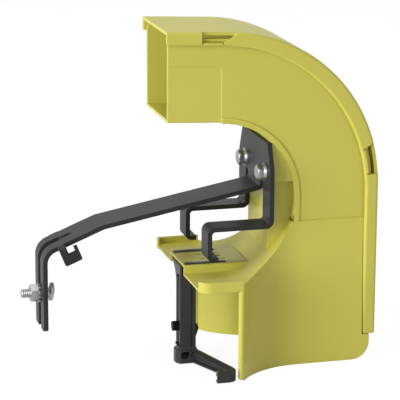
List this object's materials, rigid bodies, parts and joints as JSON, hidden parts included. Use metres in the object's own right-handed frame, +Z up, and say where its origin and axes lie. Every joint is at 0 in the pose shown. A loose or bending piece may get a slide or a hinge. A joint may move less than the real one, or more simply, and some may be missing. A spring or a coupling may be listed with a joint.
{
  "type": "fibre raceway fitting",
  "caption": "Moulded cable duct elbow with snap cover, trumpet mouth and seat plate, on a stamped steel bracket with a slotted arm.",
  "frame": {"origin": "middle of the seat plate's front edge, on the plate's upper face, where the plate meets the tray wall", "axes": "+X runs along the upper duct away from its open end, +Y runs across the duct to the far side, +Z is up"},
  "size_m": [0.2488, 0.1253, 0.2415],
  "materials": {
    "yellow_plastic": "satin moulded",
    "black_steel": "satin black powder coat",
    "zinc_steel": "zinc plated",
    "black_plastic": "moulded black",
    "black_fastener": "black oxide"
  },
  "bodies": {
    "root": {"duct_body": "yellow_plastic", "duct_cover": "yellow_plastic", "support_bracket": "black_steel", "bracket_screws": "zinc_steel", "slot_bolt": "zinc_steel", "slot_nut": "zinc_steel", "tooth_washer": "zinc_steel", "clamp_slider": "black_plastic", "clamp_hook": "black_plastic", "clamp_strap": "black_steel", "clamp_screw": "black_fastener", "clamp_nut": "black_fastener"}
  },
  "joints": []
}
